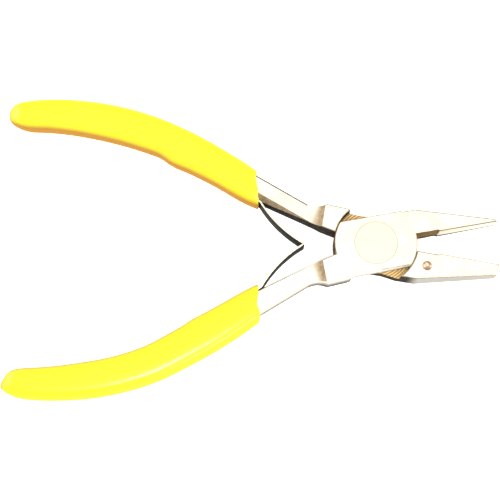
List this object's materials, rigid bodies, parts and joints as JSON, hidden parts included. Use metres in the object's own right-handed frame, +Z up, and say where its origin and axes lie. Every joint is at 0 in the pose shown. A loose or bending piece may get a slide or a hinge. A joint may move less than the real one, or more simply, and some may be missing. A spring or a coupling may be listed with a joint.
{
  "type": "flat nose pliers",
  "caption": "Small flat nose pliers with a lap joint on a flush rivet, long smooth tapered jaws, dipped yellow grips and a double leaf return spring.",
  "frame": {"origin": "on the pivot axis, in the plane the pliers lie on", "axes": "+Z up along the pivot axis, +X to the jaw tips along the bisector of the levers at rest"},
  "size_m": [0.1244, 0.078, 0.0075],
  "materials": {
    "lever_steel": "satin, ground and finely brushed",
    "rivet_steel": "turned and linished flush",
    "spring_steel": "hardened strip left black from the oil, with bright edges",
    "grip_vinyl": "dipped soft vinyl, satin on top and duller on its sides"
  },
  "bodies": {
    "back_lever": {"back_lever": "lever_steel", "pivot_rivet": "rivet_steel", "back_grip": "grip_vinyl", "back_leaf_foot": "spring_steel", "back_spring_rivet": "rivet_steel"},
    "front_lever": {"front_lever": "lever_steel", "front_grip": "grip_vinyl", "front_leaf_foot": "spring_steel", "front_spring_rivet": "rivet_steel"},
    "back_leaf": {"back_leaf_spring": "spring_steel"},
    "front_leaf": {"front_leaf_spring": "spring_steel"}
  },
  "joints": [
    {"name": "jaw_pivot", "type": "hinge", "parent": "back_lever", "child": "front_lever", "pos_m": [0, 0, 0.00375], "axis": [0, 0, 1], "range_deg": [-20, 10], "stiffness_Nm_per_rad": 1.2},
    {"name": "back_leaf_flex", "type": "hinge", "parent": "back_lever", "child": "back_leaf", "pos_m": [-0.02921, 0.01114, 0.00375], "axis": [0, 0, 1], "range_deg": [-7.2, 14.2]},
    {"name": "front_leaf_flex", "type": "hinge", "parent": "front_lever", "child": "front_leaf", "pos_m": [-0.02921, -0.01114, 0.00375], "axis": [0, 0, 1], "range_deg": [-14.2, 7.2]}
  ],
  "couplings": [
    {"joint": "back_leaf_flex", "follows": "jaw_pivot", "ratio": -0.7},
    {"joint": "front_leaf_flex", "follows": "jaw_pivot", "ratio": 0.7}
  ]
}
